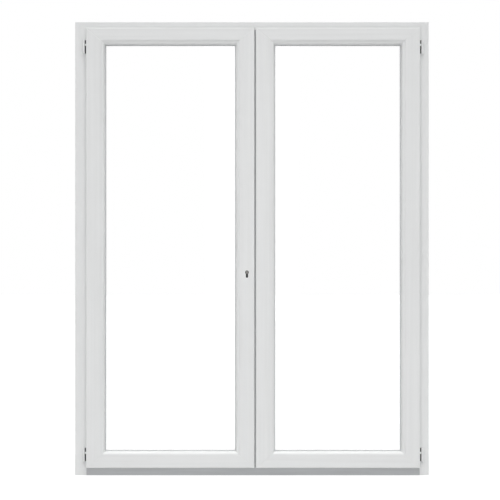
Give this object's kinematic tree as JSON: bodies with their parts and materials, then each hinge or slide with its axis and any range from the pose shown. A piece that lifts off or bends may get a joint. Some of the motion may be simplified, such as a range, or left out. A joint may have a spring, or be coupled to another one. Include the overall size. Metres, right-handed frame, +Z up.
{
  "type": "french doors",
  "caption": "Pair of white PVC french doors in their frame, opening inward, with double glazing, aluminium threshold, barrel hinges and a key lock on the left leaf.",
  "frame": {"origin": "on the underside of the threshold, at mid width and mid depth of the frame", "axes": "+Z up along the jambs, +X to the right seen from the room, +Y to the outside; the leaves open towards -Y"},
  "size_m": [1.6, 0.098, 2.05],
  "materials": {
    "white_pvc": "satin white, through-coloured",
    "galvanised_steel": "galvanised",
    "anodised_aluminium": "natural anodised",
    "grey_plastic": "matt",
    "spacer_grey": "matt",
    "grey_seal": "soft grey",
    "clear_glass": "clear float",
    "white_hinge": "white powder coat",
    "plated_steel": "zinc plated",
    "satin_nickel": "satin nickel"
  },
  "bodies": {
    "frame": {"frame_head": "white_pvc", "frame_jamb_left": "white_pvc", "frame_jamb_right": "white_pvc", "frame_steels": "galvanised_steel", "threshold_inner": "anodised_aluminium", "threshold_outer": "anodised_aluminium", "threshold_break": "grey_plastic", "frame_seal": "grey_seal", "left_frame_knuckles": "white_hinge", "right_frame_knuckles": "white_hinge", "left_hinge_pins": "plated_steel", "right_hinge_pins": "plated_steel", "head_keep": "plated_steel", "sill_keep": "plated_steel"},
    "left_leaf": {"left_hinge_stile": "white_pvc", "left_meeting_stile": "white_pvc", "left_top_rail": "white_pvc", "left_bottom_rail": "white_pvc", "left_upright_beads": "white_pvc", "left_level_beads": "white_pvc", "left_drip_rail": "white_pvc", "left_steels": "galvanised_steel", "left_packing_blocks": "grey_plastic", "left_spacer": "spacer_grey", "left_leaf_seal": "grey_seal", "left_glazing_gaskets": "grey_seal", "left_inner_pane": "clear_glass", "left_outer_pane": "clear_glass", "left_leaf_knuckles": "white_hinge", "lock_case": "plated_steel", "lock_faceplate": "plated_steel", "lock_cylinder": "satin_nickel"},
    "right_leaf": {"right_hinge_stile": "white_pvc", "right_meeting_stile": "white_pvc", "right_top_rail": "white_pvc", "right_bottom_rail": "white_pvc", "right_upright_beads": "white_pvc", "right_level_beads": "white_pvc", "right_drip_rail": "white_pvc", "right_steels": "galvanised_steel", "right_packing_blocks": "grey_plastic", "right_spacer": "spacer_grey", "right_leaf_seal": "grey_seal", "right_glazing_gaskets": "grey_seal", "right_inner_pane": "clear_glass", "right_outer_pane": "clear_glass", "right_leaf_knuckles": "white_hinge", "meeting_post": "white_pvc", "meeting_post_caps": "white_pvc", "centre_seal": "grey_seal", "strike_plate": "plated_steel"},
    "inside_plug": {"inside_plug": "satin_nickel", "lock_cam": "satin_nickel"},
    "outside_plug": {"outside_plug": "satin_nickel"},
    "deadbolt": {"deadbolt": "plated_steel"},
    "upper_rod": {"upper_rod": "plated_steel"},
    "lower_rod": {"lower_rod": "plated_steel"},
    "upper_flush_bolt": {"upper_flush_bolt": "plated_steel"},
    "lower_flush_bolt": {"lower_flush_bolt": "plated_steel"}
  },
  "joints": [
    {"name": "left_leaf_swing", "type": "hinge", "parent": "frame", "child": "left_leaf", "pos_m": [-0.7615, -0.043, 1], "axis": [0, 0, -1], "range_deg": [0, 100]},
    {"name": "right_leaf_swing", "type": "hinge", "parent": "frame", "child": "right_leaf", "pos_m": [0.7715, -0.043, 1], "axis": [0, 0, 1], "range_deg": [0, 100]},
    {"name": "key_turn", "type": "hinge", "parent": "left_leaf", "child": "inside_plug", "pos_m": [-0.0225, -0.02, 0.918], "axis": [0, 1, 0], "range_deg": [0, 360]},
    {"name": "outside_key_turn", "type": "hinge", "parent": "left_leaf", "child": "outside_plug", "pos_m": [-0.0225, -0.02, 0.918], "axis": [0, 1, 0], "range_deg": [0, 360]},
    {"name": "deadbolt_throw", "type": "slide", "parent": "left_leaf", "child": "deadbolt", "axis": [1, 0, 0], "range_m": [0, 0.02]},
    {"name": "upper_rod_throw", "type": "slide", "parent": "left_leaf", "child": "upper_rod", "axis": [0, 0, 1], "range_m": [0, 0.022]},
    {"name": "lower_rod_throw", "type": "slide", "parent": "left_leaf", "child": "lower_rod", "axis": [0, 0, -1], "range_m": [0, 0.022]},
    {"name": "upper_flush_bolt_throw", "type": "slide", "parent": "right_leaf", "child": "upper_flush_bolt", "axis": [0, 0, 1], "range_m": [0, 0.022]},
    {"name": "lower_flush_bolt_throw", "type": "slide", "parent": "right_leaf", "child": "lower_flush_bolt", "axis": [0, 0, -1], "range_m": [0, 0.022]}
  ],
  "couplings": [
    {"joint": "key_turn", "follows": "deadbolt_throw", "rad_per_m": 314.16},
    {"joint": "upper_rod_throw", "follows": "deadbolt_throw", "ratio": 1.1},
    {"joint": "lower_rod_throw", "follows": "deadbolt_throw", "ratio": 1.1}
  ]
}
